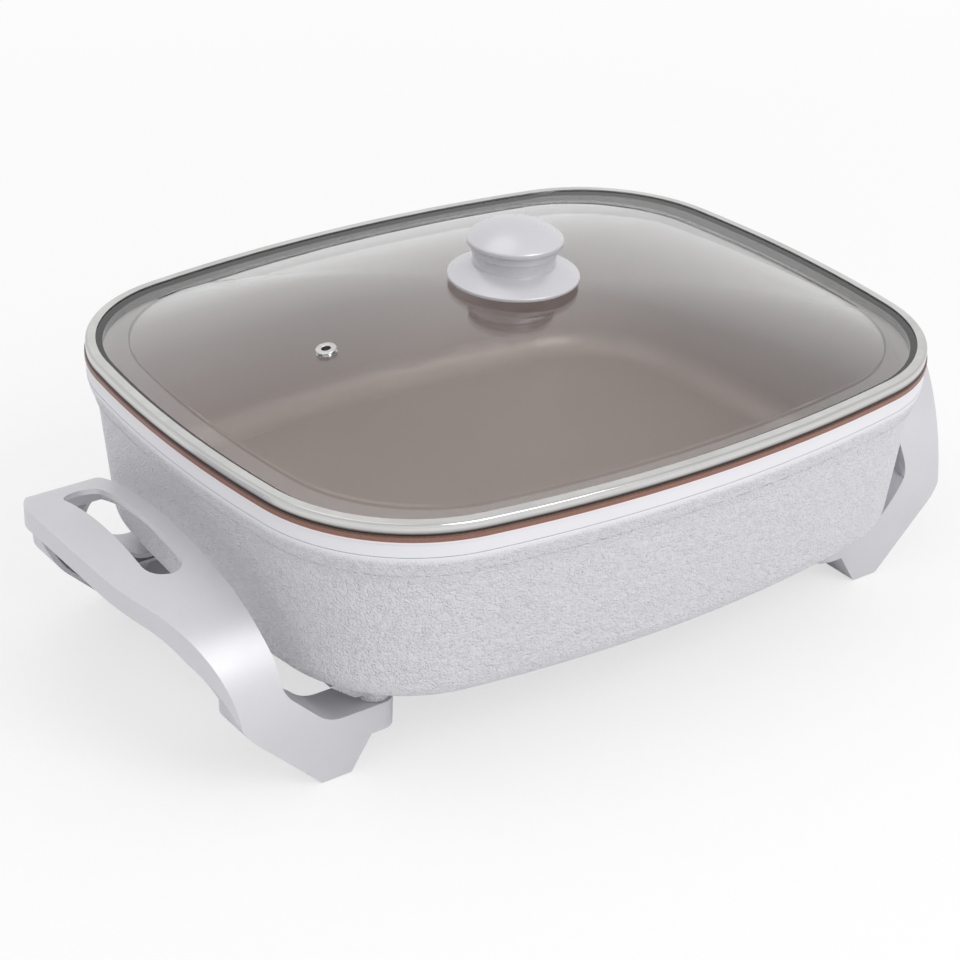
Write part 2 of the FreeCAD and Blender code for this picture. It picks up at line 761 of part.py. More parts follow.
def bracket_washers():
    return Part.makeCompound([
        cylinder(bracket_washer_radius, hub_bottom - bracket_washer_thickness, hub_bottom, x, y).cut(
            cylinder(bracket_screw_radius + screw_hole_gap, 0, hub_bottom + overlap, x, y))
        for x, y in bracket_screw_places()])


def bracket_screws():
    return Part.makeCompound([
        pan_head_screw(bracket_screw_radius, bracket_screw_head_radius, bracket_screw_head_height,
                       hub_bottom - bracket_washer_thickness, lug_low + bracket_screw_bite, x, y)
        for x, y in bracket_screw_places()])


# Lid
glass_low = lid_base + band_thickness
glass_high = glass_low + glass_thickness
dome_top = glass_high + dome_rise


def lid_rim():
    """Steel band: a channel closed over the edge of the glass, with a skirt that drops into the mouth."""
    inner_leg = mouth_inset + coating_thickness + skirt_gap
    t = band_thickness
    top = glass_high + t
    return ring([
        (0, lid_base, band_foot_radius), (0, top, band_edge_radius), (band_top_width, top, 0),
        (band_top_width, glass_high, 0), (t, glass_high, 0), (t, glass_low, 0),
        (inner_leg + t, glass_low, 0), (inner_leg + t, lid_base - band_skirt_drop, 0),
        (inner_leg, lid_base - band_skirt_drop, 0), (inner_leg, lid_base, 0)]).removeSplitter()


def dome_height(share):
    """Height of the glass above its flange, at a share of the lid outline."""
    return dome_rise * (1.0 - (share / dome_share) ** 2)


def dome_solid(base):
    wires = []
    for k in range(dome_steps + 1):
        share = dome_share + (dome_flat_share - dome_share) * k / dome_steps
        wires.append(outline_wire(0, base + dome_height(share), share))
    return Part.makeLoft(wires, True, False)


def lid_glass():
    upper = dome_solid(glass_high)
    lower = dome_solid(glass_low)
    plinth = outline_plate(0, glass_low, glass_high, dome_share)
    shell = upper.fuse(plinth).cut(lower)
    flange = outline_plate(band_thickness + glass_edge_gap, glass_low, glass_high)
    flange = flange.cut(outline_plate(0, glass_low - overlap, glass_high + overlap, dome_share))
    glass = shell.fuse(flange)
    glass = glass.cut(cylinder(knob_screw_radius + glass_hole_gap, glass_low, dome_top + overlap))
    reach = 2 * glass_thickness
    return glass.cut(vent_placed(cylinder(vent_barrel_radius, -reach, reach)))


def dome_point(x, y):
    """Height of the upper glass face at a place on the dome, and its slope along X and Y."""
    def share_at(px, py):
        low, high = 0.0, 1.0
        for _ in range(40):
            mid = (low + high) / 2
            if inside_outline(px / mid, py / mid):
                high = mid
            else:
                low = mid
        return high
    z = glass_high + dome_height(share_at(x, y))
    step = overlap / 2
    dx = (dome_height(share_at(x + step, y)) - dome_height(share_at(x - step, y))) / (2 * step)
    dy = (dome_height(share_at(x, y + step)) - dome_height(share_at(x, y - step))) / (2 * step)
    return z, dx, dy


def inside_outline(x, y):
    x, y = abs(x), abs(y)
    in_end = math.hypot(x - end_cx, y) <= end_arc_radius
    in_side = math.hypot(x, y - side_cy) <= side_arc_radius
    in_corner = x <= corner_x or y <= corner_y or math.hypot(x - corner_x, y - corner_y) <= corner_radius
    return in_end and in_side and in_corner


def vent_placed(shape):
    """Move a shape made about the Z axis, with Z = 0 on the glass, to the vent's place on the dome."""
    z, dx, dy = dome_point(vent_x, vent_y)
    normal = Vector(-dx, -dy, 1).normalize()
    turn = FreeCAD.Rotation(up, normal)
    shape = shape.copy()
    shape.Placement = FreeCAD.Placement(Vector(vent_x, vent_y, z), turn).multiply(shape.Placement)
    return shape


def vent_eyelet():
    below = -glass_thickness - vent_seat_gap
    curl_top = below - vent_washer_thickness
    curl_low = curl_top - vent_flange_thickness
    curl_radius = vent_flange_radius - vent_flange_step
    barrel = vent_barrel_radius - vent_barrel_gap
    eyelet = turned([
        (vent_bore_radius, curl_low, vent_curl_edge), (curl_radius, curl_low, vent_curl_edge),
        (curl_radius, curl_top, 0), (barrel, curl_top, 0),
        (barrel, vent_seat_gap, 0), (vent_flange_radius, vent_seat_gap, vent_flange_foot),
        (vent_flange_radius, vent_flange_thickness, vent_flange_edge),
        (vent_bore_radius, vent_flange_thickness, vent_flange_edge)])
    return vent_placed(eyelet)


def vent_washer():
    top = -glass_thickness - vent_seat_gap
    low = top - vent_washer_thickness
    washer = turned([
        (vent_barrel_radius, low, 0), (vent_flange_radius, low, 0),
        (vent_flange_radius, top, 0), (vent_barrel_radius, top, 0)])
    return vent_placed(washer)


# Knob, from the glass up
knob_base = dome_top - dome_rise * (dome_flat_share / dome_share) ** 2
seal_top = knob_base + knob_seal_thickness
skirt_low = seal_top - knob_skirt_drop
screw_way = knob_screw_radius + knob_screw_gap
neck_low = seal_top + knob_skirt_rise
neck_high = neck_low + knob_neck_height
insert_low = seal_top + knob_skirt_wall
under_glass = knob_base - glass_thickness
washer_top = under_glass - knob_seal_thickness
washer_low = washer_top - knob_washer_thickness


def knob_seal():
    return turned([
        (screw_way, knob_base, 0), (knob_seal_radius, knob_base, 0),
        (knob_seal_radius, seal_top, 0), (screw_way, seal_top, 0)])


def knob_skirt():
    t = knob_skirt_wall
    lip = skirt_low + knob_lip_rise
    boss = knob_boss_radius + knob_boss_gap
    return turned([
        (screw_way, seal_top, 0), (knob_seal_radius + knob_skirt_hollow, seal_top, 1.0),
        (knob_neck_radius - knob_skirt_hollow, neck_low - t, 3.0), (knob_skirt_radius - knob_lip_width, lip, 0),
        (knob_skirt_radius, lip, 0.5), (knob_skirt_radius, lip + knob_lip_height, 0.8),
        (knob_neck_radius + knob_skirt_ledge, neck_low, 2.0), (boss, neck_low, 0),
        (boss, seal_top + t, 0), (screw_way, seal_top + t, 0)])


def knob_neck():
    inner = knob_neck_radius - knob_wall
    split = neck_low + knob_neck_height * knob_split_share
    upper = knob_neck_radius + knob_neck_step
    boss_top = neck_high - knob_boss_drop
    return turned([
        (knob_insert_radius, insert_low, 0), (knob_boss_radius, insert_low, 0),
        (knob_boss_radius, neck_low, 0), (knob_neck_radius - knob_neck_taper, neck_low, 0),
        (knob_neck_radius, split, 0), (upper, split + knob_neck_step, 0),
        (upper, neck_high, 0), (inner, neck_high, 0), (inner, neck_low + knob_wall, 2.0),
        (knob_boss_radius, neck_low + knob_wall, 1.0), (knob_boss_radius, boss_top, 0),
        (knob_insert_radius, boss_top, 0)])


def knob_cap():
    low = neck_high
    rim = knob_cap_radius
    top = low + knob_cap_edge + knob_cap_rise
    ball_radius = (rim ** 2 + knob_cap_rise ** 2) / (2 * knob_cap_rise)
    puck = cylinder(rim, low, top + overlap)
    dome = puck.common(Part.makeSphere(ball_radius, Vector(0, 0, top - ball_radius)))
    rim_edges = [e for e in dome.Edges if e.Length > 6 * rim and e.BoundBox.ZLength < 0.01]
    upper = [e for e in rim_edges if e.BoundBox.ZMin > low + overlap]
    lower = [e for e in rim_edges if e.BoundBox.ZMin < low + overlap]
    dome = dome.makeFillet(knob_cap_upper_radius, upper).makeFillet(knob_cap_lower_radius, lower)
    return dome.cut(cylinder(knob_neck_radius - knob_wall, low - overlap, low + knob_cap_edge))


def knob_insert():
    high = insert_low + knob_insert_length
    bore = cylinder(knob_screw_radius, insert_low - overlap, high + overlap)
    return cylinder(knob_insert_radius, insert_low, high).cut(bore)


def inner_seal():
    return turned([
        (screw_way, washer_top, 0), (knob_seal_radius, washer_top, 0),
        (knob_seal_radius, under_glass, 0), (screw_way, under_glass, 0)])


def knob_washer():
    return turned([
        (screw_way, washer_low, 0), (knob_washer_radius, washer_low, knob_washer_edge),
        (knob_washer_radius, washer_top, 0), (screw_way, washer_top, 0)])


def knob_screw():
    tip = insert_low + knob_insert_length - knob_screw_end_gap
    return pan_head_screw(knob_screw_radius, knob_screw_head_radius, knob_screw_head_height,
                          washer_low, tip, 0, 0)


save("pan_body", pan_body())
save("nonstick_coating", coating())
save("heater_sheath", heater_sheath())
save("heater_insulation", heater_insulation())
save("heater_wire", heater_wire())
save("terminal_pins", terminal_pins())
save("terminal_bushings", terminal_bushings())
save("probe_well", probe_well())
save("inlet_guard", inlet_guard())
save("inlet_guard_screws", guard_screws())

right_bracket = bracket()
save("right_handle_bracket", right_bracket)
save("left_handle_bracket", mirrored(right_bracket, Vector(1, 0, 0)))
save("bracket_washers", bracket_washers())
save("bracket_screws", bracket_screws())

save("lid_glass", lid_glass())
save("lid_rim_band", lid_rim())
save("vent_eyelet", vent_eyelet())
save("vent_washer", vent_washer())
save("knob_seal", knob_seal())
save("knob_skirt", knob_skirt())
save("knob_neck", knob_neck())
save("knob_cap", knob_cap())
save("knob_insert", knob_insert())
save("inner_seal", inner_seal())
save("knob_washer", knob_washer())
save("knob_screw", knob_screw())
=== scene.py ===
import json
import math

import bpy
from mathutils import Matrix, Vector

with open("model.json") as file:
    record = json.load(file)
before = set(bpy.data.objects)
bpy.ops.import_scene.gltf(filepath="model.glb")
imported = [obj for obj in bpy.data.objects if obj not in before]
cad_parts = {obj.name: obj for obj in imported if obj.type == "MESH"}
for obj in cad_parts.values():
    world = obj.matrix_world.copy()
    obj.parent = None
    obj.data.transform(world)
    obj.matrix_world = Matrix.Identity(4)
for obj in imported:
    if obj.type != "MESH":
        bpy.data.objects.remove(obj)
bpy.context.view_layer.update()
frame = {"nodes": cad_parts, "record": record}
nodes = frame["nodes"]
bpy.context.scene.view_settings.view_transform = "Standard"
print("frame loaded:", len(nodes), "nodes")


# Camera

cameraSet = {
    "target": (-0.1014, -0.1123, 0.143),
    "azimuth": -37.33,          # degrees round from the front
    "elevation": 28.31,
    "distance": 1.1124,
    "roll": 2.35,
    "lens": 91.53,
    "sensor": 36.0,
    "farthest": 20.0,           # nothing beyond this is drawn
}


def addCamera(s):
    azimuth, elevation, roll = (math.radians(s[k]) for k in ("azimuth", "elevation", "roll"))
    back = Vector((math.sin(azimuth) * math.cos(elevation),
                   -math.cos(azimuth) * math.cos(elevation),
                   math.sin(elevation)))
    levelRight = (-back).cross(Vector((0, 0, 1))).normalized()
    levelUp = levelRight.cross(-back)
    right = math.cos(roll) * levelRight + math.sin(roll) * levelUp
    top = back.cross(right)
    data = bpy.data.cameras.new("photoCamera")
    data.lens = s["lens"]
    data.sensor_width = s["sensor"]
    data.clip_end = s["farthest"]
    camera = bpy.data.objects.new("photoCamera", data)
    bpy.context.scene.collection.objects.link(camera)
    turn = Matrix((right, top, back)).transposed().to_4x4()
    camera.matrix_world = Matrix.Translation(Vector(s["target"]) + s["distance"] * back) @ turn
    bpy.context.scene.camera = camera


# Studio: a pale floor, a white surround and soft lamps

studioSet = {
    "floorSize": 9.0,
    "floorDrop": 0.0004,        # floor under the soles, so the two never meet
    "floorColour": (0.995, 0.995, 0.998),
    "floorRoughness": 0.9,
    "floorWhite": 0.60,         # share of plain white in the floor as the camera sees it, near the pan
    "whiteFrom": 0.55,          # from here out to whiteFull that share grows to the whole
    "whiteFull": 1.5,
    "ambient": 0.74,            # white surround as it lights matt surfaces
    "seen": 1.0,                # the same surround as the camera and the gloss see it
}

lampSet = [
    # name, place, aim, size, watts
    ("keyLamp", (0.35, -1.9, 1.7), (0.0, -0.05, 0.08), 1.5, 18.0),
    ("topLamp", (-0.5, 0.4, 2.2), (0.0, 0.0, 0.10), 1.6, 3.5),
]


def addWorld(s):
    world = bpy.data.worlds.new("whiteSurround")
    bpy.context.scene.world = world
    world.use_nodes = True
    tree = world.node_tree
    tree.nodes.clear()
    path = tree.nodes.new("ShaderNodeLightPath")
    glossOrView = tree.nodes.new("ShaderNodeMath")
    glossOrView.operation = "MAXIMUM"
    tree.links.new(path.outputs["Is Camera Ray"], glossOrView.inputs[0])
    tree.links.new(path.outputs["Is Glossy Ray"], glossOrView.inputs[1])
    seen = tree.nodes.new("ShaderNodeMath")
    seen.operation = "MAXIMUM"
    tree.links.new(glossOrView.outputs[0], seen.inputs[0])
    tree.links.new(path.outputs["Is Transmission Ray"], seen.inputs[1])
    level = tree.nodes.new("ShaderNodeMapRange")
    tree.links.new(seen.outputs[0], level.inputs["Value"])
    level.inputs["To Min"].default_value = s["ambient"]
    level.inputs["To Max"].default_value = s["seen"]
    background = tree.nodes.new("ShaderNodeBackground")
    background.inputs["Color"].default_value = (1, 1, 1, 1)
    tree.links.new(level.outputs["Result"], background.inputs["Strength"])
    out = tree.nodes.new("ShaderNodeOutputWorld")
    tree.links.new(background.outputs[0], out.inputs[0])


def addLamps(lamps):
    for name, place, aim, size, watts in lamps:
        data = bpy.data.lights.new(name, "AREA")
        data.shape = "DISK"
        data.size = size
        data.energy = watts
        lamp = bpy.data.objects.new(name, data)
        bpy.context.scene.collection.objects.link(lamp)
        lamp.location = place
        lamp.rotation_mode = "QUATERNION"
        lamp.rotation_quaternion = (Vector(aim) - Vector(place)).to_track_quat("-Z", "Y")


def addFloor(s):
    half = s["floorSize"] / 2
    mesh = bpy.data.meshes.new("floor")
    corners = [(-half, -half, 0), (half, -half, 0), (half, half, 0), (-half, half, 0)]
    mesh.from_pydata(corners, [], [(0, 1, 2, 3)])
    floor = bpy.data.objects.new("floor", mesh)
    floor.location.z = -s["floorDrop"]
    bpy.context.scene.collection.objects.link(floor)
    material = bpy.data.materials.new("paleFloor")
    material.use_nodes = True
    shader = material.node_tree.nodes["Principled BSDF"]
    shader.inputs["Base Color"].default_value = (*s["floorColour"], 1)
    shader.inputs["Roughness"].default_value = s["floorRoughness"]
    shader.inputs["Specular IOR Level"].default_value = 0.0
    tree = material.node_tree
    path = tree.nodes.new("ShaderNodeLightPath")
    white = tree.nodes.new("ShaderNodeEmission")
    mix = tree.nodes.new("ShaderNodeMixShader")
    length = tree.nodes.new("ShaderNodeVectorMath")
    length.operation = "LENGTH"
    tree.links.new(tree.nodes.new("ShaderNodeTexCoord").outputs["Object"], length.inputs[0])
    share = addRange(tree, length.outputs["Value"], s["whiteFrom"], s["whiteFull"], s["floorWhite"], 1.0)
    tree.links.new(addMath(tree, "MULTIPLY", path.outputs["Is Camera Ray"], share), mix.inputs[0])
    tree.links.new(shader.outputs[0], mix.inputs[1])
    tree.links.new(white.outputs[0], mix.inputs[2])
    tree.links.new(mix.outputs[0], tree.nodes["Material Output"].inputs[0])
    mesh.materials.append(material)


# Node groups that several finishes share

def newGroup(name, inputs, outputs):
    group = bpy.data.node_groups.new(name, "ShaderNodeTree")
    for label, kind, value in inputs:
        socket = group.interface.new_socket(name=label, in_out="INPUT", socket_type=kind)
        if value is not None:
            socket.default_value = value
    for label, kind in outputs:
        group.interface.new_socket(name=label, in_out="OUTPUT", socket_type=kind)
    entry = group.nodes.new("NodeGroupInput")
    leave = group.nodes.new("NodeGroupOutput")
    return group, entry, leave


def addMath(tree, operation, a, b=None):
    node = tree.nodes.new("ShaderNodeMath")
    node.operation = operation
    for socket, value in zip(node.inputs, (a, b)):
        if value is None:
            continue
        if isinstance(value, (int, float)):
            socket.default_value = value
        else:
            tree.links.new(value, socket)
    return node.outputs[0]


def addNoise(tree, vector, scale, detail=3.0, rough=0.5):
    node = tree.nodes.new("ShaderNodeTexNoise")
    tree.links.new(vector, node.inputs["Vector"])
    if isinstance(scale, (int, float)):
        node.inputs["Scale"].default_value = scale
    else:
        tree.links.new(scale, node.inputs["Scale"])
    node.inputs["Detail"].default_value = detail
    node.inputs["Roughness"].default_value = rough
    return node.outputs["Fac"]


def addRange(tree, value, fromLow, fromHigh, toLow, toHigh):
    node = tree.nodes.new("ShaderNodeMapRange")
    tree.links.new(value, node.inputs["Value"])
    limits = {"From Min": fromLow, "From Max": fromHigh, "To Min": toLow, "To Max": toHigh}
    for label, v in limits.items():
        if isinstance(v, (int, float)):
            node.inputs[label].default_value = v
        else:
            tree.links.new(v, node.inputs[label])
    return node.outputs["Result"]


def addMix(tree, factor, first, second):
    node = tree.nodes.new("ShaderNodeMix")
    node.data_type = "RGBA"
    sockets = (node.inputs["Factor"], node.inputs["A"], node.inputs["B"])
    for socket, value in zip(sockets, (factor, first, second)):
        if isinstance(value, (int, float)):
            socket.default_value = value
        elif isinstance(value, tuple):
            socket.default_value = (*value, 1)
        else:
            tree.links.new(value, socket)
    return node.outputs["Result"]


def addTint(tree, first, second):
    node = tree.nodes.new("ShaderNodeMix")
    node.data_type = "RGBA"
    node.blend_type = "MULTIPLY"
    node.inputs["Factor"].default_value = 1.0
    tree.links.new(first, node.inputs["A"])
    tree.links.new(second, node.inputs["B"])
    return node.outputs["Result"]


pebbleSet = {
    "smooth": 0.6,              # how far neighbouring grains melt together
    "moundFoot": 0.75,          # from a grain's middle to its foot, as a share of its cell
    "moundShare": 0.6,          # round grains and fine noise in the height
    "fineShare": 0.5,
    "fineScale": 1.9,           # the fine and the wide noise, against the grain's own scale
    "wideScale": 0.35,
    "noiseDetail": 2.0,
    "wideNoise": (0.3, 0.7),    # between these the wide noise takes the grain
    "wideDepth": (0.6, 1.25),   # from shallow to deep
    "toneHeights": (0.25, 0.95),    # heights that count as hollow and as crest
}


def buildPebble(s):
    # rounded grains of a sprayed paint; Cover runs from 0 (smooth) to 1
    group, entry, leave = newGroup("pebbleGrain", [
        ("Vector", "NodeSocketVector", None),
        ("Scale", "NodeSocketFloat", 700.0),
        ("Cover", "NodeSocketFloat", 1.0)],
        [("Height", "NodeSocketFloat"), ("Tone", "NodeSocketFloat")])
    cells = group.nodes.new("ShaderNodeTexVoronoi")
    cells.feature = "SMOOTH_F1"
    group.links.new(entry.outputs["Vector"], cells.inputs["Vector"])
    group.links.new(entry.outputs["Scale"], cells.inputs["Scale"])
    cells.inputs["Smoothness"].default_value = s["smooth"]
    mound = addRange(group, cells.outputs["Distance"], 0.0, s["moundFoot"], 1.0, 0.0)
    fineScale = addMath(group, "MULTIPLY", entry.outputs["Scale"], s["fineScale"])
    fine = addNoise(group, entry.outputs["Vector"], fineScale, s["noiseDetail"])
    wideScale = addMath(group, "MULTIPLY", entry.outputs["Scale"], s["wideScale"])
    wide = addNoise(group, entry.outputs["Vector"], wideScale, s["noiseDetail"])
    finePart = addMath(group, "MULTIPLY", fine, s["fineShare"])
    moundPart = addMath(group, "MULTIPLY", mound, s["moundShare"])
    grain = addMath(group, "ADD", moundPart, finePart)
    depth = addRange(group, wide, *s["wideNoise"], *s["wideDepth"])
    uneven = addMath(group, "MULTIPLY", grain, depth)
    height = addMath(group, "MULTIPLY", uneven, entry.outputs["Cover"])
    group.links.new(height, leave.inputs["Height"])
    group.links.new(addRange(group, height, *s["toneHeights"], 0.0, 1.0), leave.inputs["Tone"])
    return group


driftSet = {
    "detail": 4.0,
    "rough": 0.55,
    "noise": (0.32, 0.68),      # the middle of the noise is spread from Low to High
}


def buildDrift(s):
    # slow unevenness, for tone and gloss
    group, entry, leave = newGroup("slowDrift", [
        ("Vector", "NodeSocketVector", None), ("Scale", "NodeSocketFloat", 14.0),
        ("Low", "NodeSocketFloat", 0.3), ("High", "NodeSocketFloat", 0.4)],
        [("Value", "NodeSocketFloat")])
    slow = addNoise(group, entry.outputs["Vector"], entry.outputs["Scale"], s["detail"], s["rough"])
    level = addRange(group, slow, *s["noise"], entry.outputs["Low"], entry.outputs["High"])
    group.links.new(level, leave.inputs["Value"])
    return group


fineGrainSet = {
    "detail": 2.0,
    "rough": 0.6,
    "flakeScale": 1.4,          # the flakes are this much finer than the relief
}


def buildFineGrain(s):
    # moulded or fired skin: tiny even relief and flake tone
    group, entry, leave = newGroup("fineGrain", [
        ("Vector", "NodeSocketVector", None), ("Scale", "NodeSocketFloat", 1800.0)],
        [("Height", "NodeSocketFloat"), ("Tone", "NodeSocketFloat")])
    noise = addNoise(group, entry.outputs["Vector"], entry.outputs["Scale"], s["detail"], s["rough"])
    group.links.new(noise, leave.inputs["Height"])
    flakes = group.nodes.new("ShaderNodeTexVoronoi")
    group.links.new(entry.outputs["Vector"], flakes.inputs["Vector"])
    flakeScale = addMath(group, "MULTIPLY", entry.outputs["Scale"], s["flakeScale"])
    group.links.new(flakeScale, flakes.inputs["Scale"])
    split = group.nodes.new("ShaderNodeSeparateColor")
    group.links.new(flakes.outputs["Color"], split.inputs[0])
    group.links.new(split.outputs[0], leave.inputs["Tone"])
    return group


brushSet = {
    "detail": 4.0,
    "rough": 0.65,
    "noise": (0.3, 0.7),        # the middle of the noise is spread over the whole tone
}


def buildBrush(s):
    # lines of a polished or drawn metal, stretched along one axis of Vector
    group, entry, leave = newGroup("brushLines", [
        ("Vector", "NodeSocketVector", None), ("Stretch", "NodeSocketVector", (40.0, 900.0, 900.0))],
        [("Height", "NodeSocketFloat"), ("Tone", "NodeSocketFloat")])
    scaled = group.nodes.new("ShaderNodeVectorMath")
    scaled.operation = "MULTIPLY"
    group.links.new(entry.outputs["Vector"], scaled.inputs[0])
    group.links.new(entry.outputs["Stretch"], scaled.inputs[1])
    lines = addNoise(group, scaled.outputs[0], 1.0, s["detail"], s["rough"])
    group.links.new(lines, leave.inputs["Height"])
    group.links.new(addRange(group, lines, *s["noise"], 0.0, 1.0), leave.inputs["Tone"])
    return group


groups = {
    "pebble": buildPebble(pebbleSet),
    "drift": buildDrift(driftSet),
    "grain": buildFineGrain(fineGrainSet),
    "brush": buildBrush(brushSet),
}
print("node groups built:", len(groups))


class Finish:
    # one material under construction
    def __init__(self, name):
        self.material = bpy.data.materials.new(name)
        self.material.use_nodes = True
        self.tree = self.material.node_tree
        self.shader = self.tree.nodes["Principled BSDF"]
        self.place = self.tree.nodes.new("ShaderNodeTexCoord").outputs["Object"]

    def use(self, key, **values):
        node = self.tree.nodes.new("ShaderNodeGroup")
        node.node_tree = groups[key]
        self.tree.links.new(values.pop("Vector", self.place), node.inputs["Vector"])
        for label, value in values.items():
            if isinstance(value, (int, float, tuple)):
                node.inputs[label].default_value = value
            else:
                self.tree.links.new(value, node.inputs[label])
        return node

    def plain(self, **values):
        for label, value in values.items():
            self.shader.inputs[label.replace("_", " ")].default_value = value

    def feed(self, label, value):
        self.tree.links.new(value, self.shader.inputs[label])

    def bump(self, height, distance, strength=1.0, after=None):
        node = self.tree.nodes.new("ShaderNodeBump")
        node.inputs["Strength"].default_value = strength
        node.inputs["Distance"].default_value = distance
        self.tree.links.new(height, node.inputs["Height"])
        if after is not None:
            self.tree.links.new(after, node.inputs["Normal"])
        self.tree.links.new(node.outputs[0], self.shader.inputs["Normal"])
        return node.outputs[0]

    def height(self):
        # height above the table, in metres
        node = self.tree.nodes.new("ShaderNodeSeparateXYZ")
        self.tree.links.new(self.place, node.inputs[0])
        return node.outputs["Z"]


# Finishes

castSet = {
    "pale": (0.785, 0.780, 0.815),
    "deep": (0.700, 0.695, 0.735),
    "grainScale": 900.0,
    "grainDepth": 0.0015,
    "hollowShade": 0.7,         # how far the hollows between the grains go to the deep tone: painted shade in the hollows
    "lipFoot": 0.1314,          # the grain starts under the smooth lip
    "lipFade": 0.004,
}


def makeCastSilver(s):
    f = Finish("castSilver")
    cover = addRange(f.tree, f.height(), s["lipFoot"], s["lipFoot"] - s["lipFade"], 0.0, 1.0)
    pebble = f.use("pebble", Scale=s["grainScale"], Cover=cover)
    drift = f.use("drift", Scale=9.0, Low=0.0, High=0.18)
    # painted shade: the hollows between the grains are darkened towards the deep tone
    hollows = addRange(f.tree, pebble.outputs["Tone"], 0.0, 1.0, s["hollowShade"], 0.0)
    shade = addMath(f.tree, "ADD", drift.outputs[0], addMath(f.tree, "MULTIPLY", hollows, cover))
    f.feed("Base Color", addMix(f.tree, shade, s["pale"], s["deep"]))
    f.feed("Roughness", f.use("drift", Scale=30.0, Low=0.42, High=0.52).outputs[0])
    f.plain(Metallic=0.15)
    f.bump(pebble.outputs["Height"], s["grainDepth"])
    return f.material


copperSet = {
    "rim": (0.235, 0.098, 0.062),
    "wallTop": (0.50, 0.475, 0.475),
    "wallLow": (0.33, 0.265, 0.255),
    "floor": (0.31, 0.225, 0.195),
    "lip": (0.785, 0.780, 0.815),
    "shadow": (0.050, 0.026, 0.020),
    "beadFoot": 0.1397,         # below this the bead's turned-in foot is bare paint
    "beadLine": 0.0003,
    "shadowFoot": 0.1420,       # above this the bead's outer side is painted with the shadow of the lid's band
    "wallTopHeight": 0.137,
    "wallLowHeight": 0.085,
    "floorHeight": 0.056,
    "grainDepth": 0.00003,
    "outerFacing": 0.5,         # how squarely a face must look outwards to count as the outer side
    "fleck": (0.75, 0.62, 0.55),
    "fleckShare": 0.06,
}


def outerSide(f, least):
    # 1 where the surface looks away from the middle of the pan, 0 where it looks in
    normal = f.tree.nodes.new("ShaderNodeNewGeometry").outputs["Normal"]
    facing = f.tree.nodes.new("ShaderNodeVectorMath")
    facing.operation = "DOT_PRODUCT"
    outward = f.tree.nodes.new("ShaderNodeVectorMath")
    outward.operation = "MULTIPLY"
    outward.inputs[1].default_value = (1, 1, 0)
    f.tree.links.new(f.place, outward.inputs[0])
    unit = f.tree.nodes.new("ShaderNodeVectorMath")
    unit.operation = "NORMALIZE"
    f.tree.links.new(outward.outputs[0], unit.inputs[0])
    f.tree.links.new(normal, facing.inputs[0])
    f.tree.links.new(unit.outputs[0], facing.inputs[1])
    return addRange(f.tree, facing.outputs["Value"], 0.0, least, 0.0, 1.0)


def makeCopperCoat(s):
    f = Finish("copperCoat")
    z = f.height()
    upWall = addRange(f.tree, z, s["wallLowHeight"], s["wallTopHeight"], 0.0, 1.0)
    wall = addMix(f.tree, upWall, s["wallLow"], s["wallTop"])
    offFloor = addRange(f.tree, z, s["floorHeight"], s["wallLowHeight"], 0.0, 1.0)
    low = addMix(f.tree, offFloor, s["floor"], wall)
    toRim = addRange(f.tree, z, s["wallTopHeight"], s["beadFoot"], 0.0, 1.0)
    inside = addMix(f.tree, toRim, low, s["rim"])
    outer = outerSide(f, s["outerFacing"])
    # painted shadow: the top of the bead's outer side is darkened where the lid's band shades it
    underBandShadow = addRange(f.tree, z, s["shadowFoot"], s["shadowFoot"] + 2 * s["beadLine"], 0.0, 1.0)
    shaded = addMix(f.tree, addMath(f.tree, "MULTIPLY", underBandShadow, outer), inside, s["shadow"])
    foot = addRange(f.tree, z, s["beadFoot"] + s["beadLine"], s["beadFoot"], 0.0, 1.0)
    bare = addMath(f.tree, "MULTIPLY", foot, outer)
    full = addMix(f.tree, bare, shaded, s["lip"])
    grain = f.use("grain", Scale=1500.0)
    flecks = addMath(f.tree, "MULTIPLY", grain.outputs["Tone"], s["fleckShare"])
    flecked = addMix(f.tree, flecks, full, s["fleck"])
    f.feed("Base Color", flecked)
    f.feed("Roughness", f.use("drift", Scale=22.0, Low=0.30, High=0.42).outputs[0])
    f.plain(Metallic=0.1)
    f.bump(grain.outputs["Height"], s["grainDepth"])
    return f.material


plasticSet = {
    "pale": (0.640, 0.635, 0.665),
    "deep": (0.585, 0.580, 0.612),
    "flake": (0.80, 0.80, 0.83),
    "flakeShare": 0.10,
    "grainDepth": 0.000018,
}


def makeSatinSilver(name, s, gloss=(0.34, 0.42)):
    f = Finish(name)
    grain = f.use("grain", Scale=2600.0)
    base = addMix(f.tree, f.use("drift", Scale=11.0, Low=0.0, High=1.0).outputs[0], s["pale"], s["deep"])
    flakes = addMath(f.tree, "MULTIPLY", grain.outputs["Tone"], s["flakeShare"])
    f.feed("Base Color", addMix(f.tree, flakes, base, s["flake"]))
    f.feed("Roughness", f.use("drift", Scale=35.0, Low=gloss[0], High=gloss[1]).outputs[0])
    f.plain(Metallic=0.35, Coat_Weight=0.15, Coat_Roughness=0.25)
    f.bump(grain.outputs["Height"], s["grainDepth"])
    return f.material


steelSet = {
    "bright": (0.84, 0.835, 0.825),
    "dim": (0.66, 0.655, 0.65),
}

# painted reflection: dark and light bands up the polished lid band, darkest at its foot
bandPaintedReflection = {
    "low": 0.1433,              # foot and top of the rolled band
    "high": 0.1487,
    "stops": ((0.0, 0.10), (0.12, 0.16), (0.28, 0.66), (0.50, 0.88),    # place up the band, painted reflection tone there
              (0.78, 0.80), (0.92, 0.62), (1.0, 0.80)),
}


